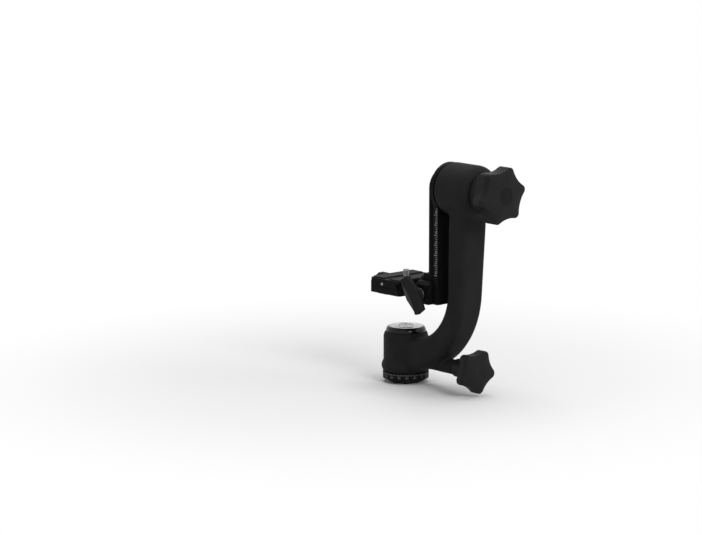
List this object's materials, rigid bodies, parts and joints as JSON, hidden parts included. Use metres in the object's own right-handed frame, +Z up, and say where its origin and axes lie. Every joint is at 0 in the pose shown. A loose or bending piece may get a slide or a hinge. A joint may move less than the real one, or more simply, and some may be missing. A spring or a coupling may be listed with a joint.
{
  "type": "gimbal tripod head",
  "caption": "Side-mount gimbal head: panning J-shaped arm, swinging dovetail rail, sliding quick-release platform, lobed lock knobs.",
  "frame": {"origin": "centre of the base's underside, on the pan axis", "axes": "+Z up along the pan axis, +X from the pan axis towards the arm, the tilt axis runs along X"},
  "size_m": [0.1799, 0.0689, 0.2296],
  "materials": {
    "coated_black": "fine textured matte black coat on a casting",
    "knob_rubber": "matte black rubber over moulded knob",
    "anodised_black": "satin black anodised",
    "polished_black": "polished black lid",
    "ring_black": "black anodised with grey engraved marks",
    "steel": "plain steel",
    "black_steel": "black oxide steel",
    "brass": "turned brass",
    "bearing_steel": "ground bearing steel",
    "ptfe": "white low-friction plastic",
    "bezel_silver": "satin silver",
    "vial_glass": "clear vial",
    "vial_fluid": "level fluid",
    "pad_rubber": "ribbed rubber"
  },
  "bodies": {
    "base": {"base_plate": "anodised_black", "thread_insert": "steel", "degree_ring": "ring_black", "ring_grub_screw": "black_steel", "pan_spindle": "steel", "spindle_screws": "black_steel", "spindle_nut": "steel", "spindle_washer": "steel", "pan_thrust_washer": "ptfe"},
    "arm": {"j_arm": "coated_black", "pan_bearing_lower": "bearing_steel", "pan_bearing_upper": "bearing_steel", "hub_cap": "polished_black", "level_bezel": "bezel_silver", "level_vial": "vial_glass", "level_fluid": "vial_fluid", "pan_lock_bush": "brass", "tilt_bearing_inner": "bearing_steel", "tilt_bearing_outer": "bearing_steel"},
    "pan_shoe": {"pan_shoe": "brass"},
    "pan_knob": {"pan_knob": "knob_rubber", "pan_knob_stud": "steel"},
    "cradle": {"swing_rail": "anodised_black", "tilt_shaft": "steel", "shaft_screws": "black_steel", "rail_stop_screws": "black_steel"},
    "tilt_washer": {"tilt_friction_washer": "ptfe"},
    "tilt_knob": {"tilt_knob": "knob_rubber", "tilt_knob_insert": "brass"},
    "platform": {"platform_bracket": "anodised_black", "clamp_base": "anodised_black", "bracket_screws": "black_steel", "guide_pins": "steel", "clamp_pins": "steel"},
    "rail_jaw": {"rail_jaw": "anodised_black"},
    "height_wing": {"height_wing": "knob_rubber", "height_stud": "steel", "wing_washer": "steel"},
    "clamp_jaw": {"clamp_jaw": "anodised_black"},
    "clamp_knob": {"clamp_knob": "knob_rubber", "clamp_stud": "steel"},
    "plate": {"quick_plate": "anodised_black", "plate_pad": "pad_rubber", "plate_end_screw": "steel", "plate_stop_screws": "black_steel"},
    "camera_screw": {"camera_screw": "steel"}
  },
  "joints": [
    {"name": "pan", "type": "hinge", "parent": "base", "child": "arm", "pos_m": [0, 0, 0], "axis": [0, 0, 1], "continuous": true},
    {"name": "pan_lock_travel", "type": "slide", "parent": "arm", "child": "pan_shoe", "axis": [1, 0, 0], "range_m": [0, 0.0009375]},
    {"name": "pan_lock_turn", "type": "hinge", "parent": "pan_shoe", "child": "pan_knob", "pos_m": [0, 0, 0.0252], "axis": [1, 0, 0], "range_deg": [0, 272.7]},
    {"name": "tilt", "type": "hinge", "parent": "arm", "child": "cradle", "pos_m": [0, 0, 0.2025], "axis": [1, 0, 0], "continuous": true},
    {"name": "tilt_lock_travel", "type": "slide", "parent": "cradle", "child": "tilt_washer", "axis": [1, 0, 0], "range_m": [0, 0.0009375]},
    {"name": "tilt_lock_turn", "type": "hinge", "parent": "tilt_washer", "child": "tilt_knob", "pos_m": [0, 0, 0.2025], "axis": [1, 0, 0], "range_deg": [0, 272.7]},
    {"name": "platform_height", "type": "slide", "parent": "cradle", "child": "platform", "axis": [0, 0, 1], "range_m": [0, 0.055]},
    {"name": "rail_jaw_travel", "type": "slide", "parent": "platform", "child": "rail_jaw", "axis": [0, -1, 0], "range_m": [0, 0.00125]},
    {"name": "height_wing_turn", "type": "hinge", "parent": "rail_jaw", "child": "height_wing", "pos_m": [0.0473, 0, 0.0978], "axis": [0, -1, 0], "range_deg": [0, 363.6]},
    {"name": "clamp_jaw_travel", "type": "slide", "parent": "platform", "child": "clamp_jaw", "axis": [-1, 0, 0], "range_m": [0, 0.00406]},
    {"name": "clamp_knob_turn", "type": "hinge", "parent": "clamp_jaw", "child": "clamp_knob", "pos_m": [0, 0, 0.09505], "axis": [-1, 0, 0], "range_deg": [0, 1181.7]},
    {"name": "plate_slide", "type": "slide", "parent": "platform", "child": "plate", "axis": [0, 1, 0], "range_m": [-0.01, 0.01]},
    {"name": "camera_screw_turn", "type": "hinge", "parent": "plate", "child": "camera_screw", "pos_m": [0, 0, 0.1], "axis": [0, 0, 1], "continuous": true}
  ],
  "couplings": [
    {"joint": "pan_lock_turn", "follows": "pan_lock_travel", "rad_per_m": 5026.5},
    {"joint": "tilt_lock_turn", "follows": "tilt_lock_travel", "rad_per_m": 5026.5},
    {"joint": "height_wing_turn", "follows": "rail_jaw_travel", "rad_per_m": 5026.5},
    {"joint": "clamp_knob_turn", "follows": "clamp_jaw_travel", "rad_per_m": 5026.5}
  ]
}
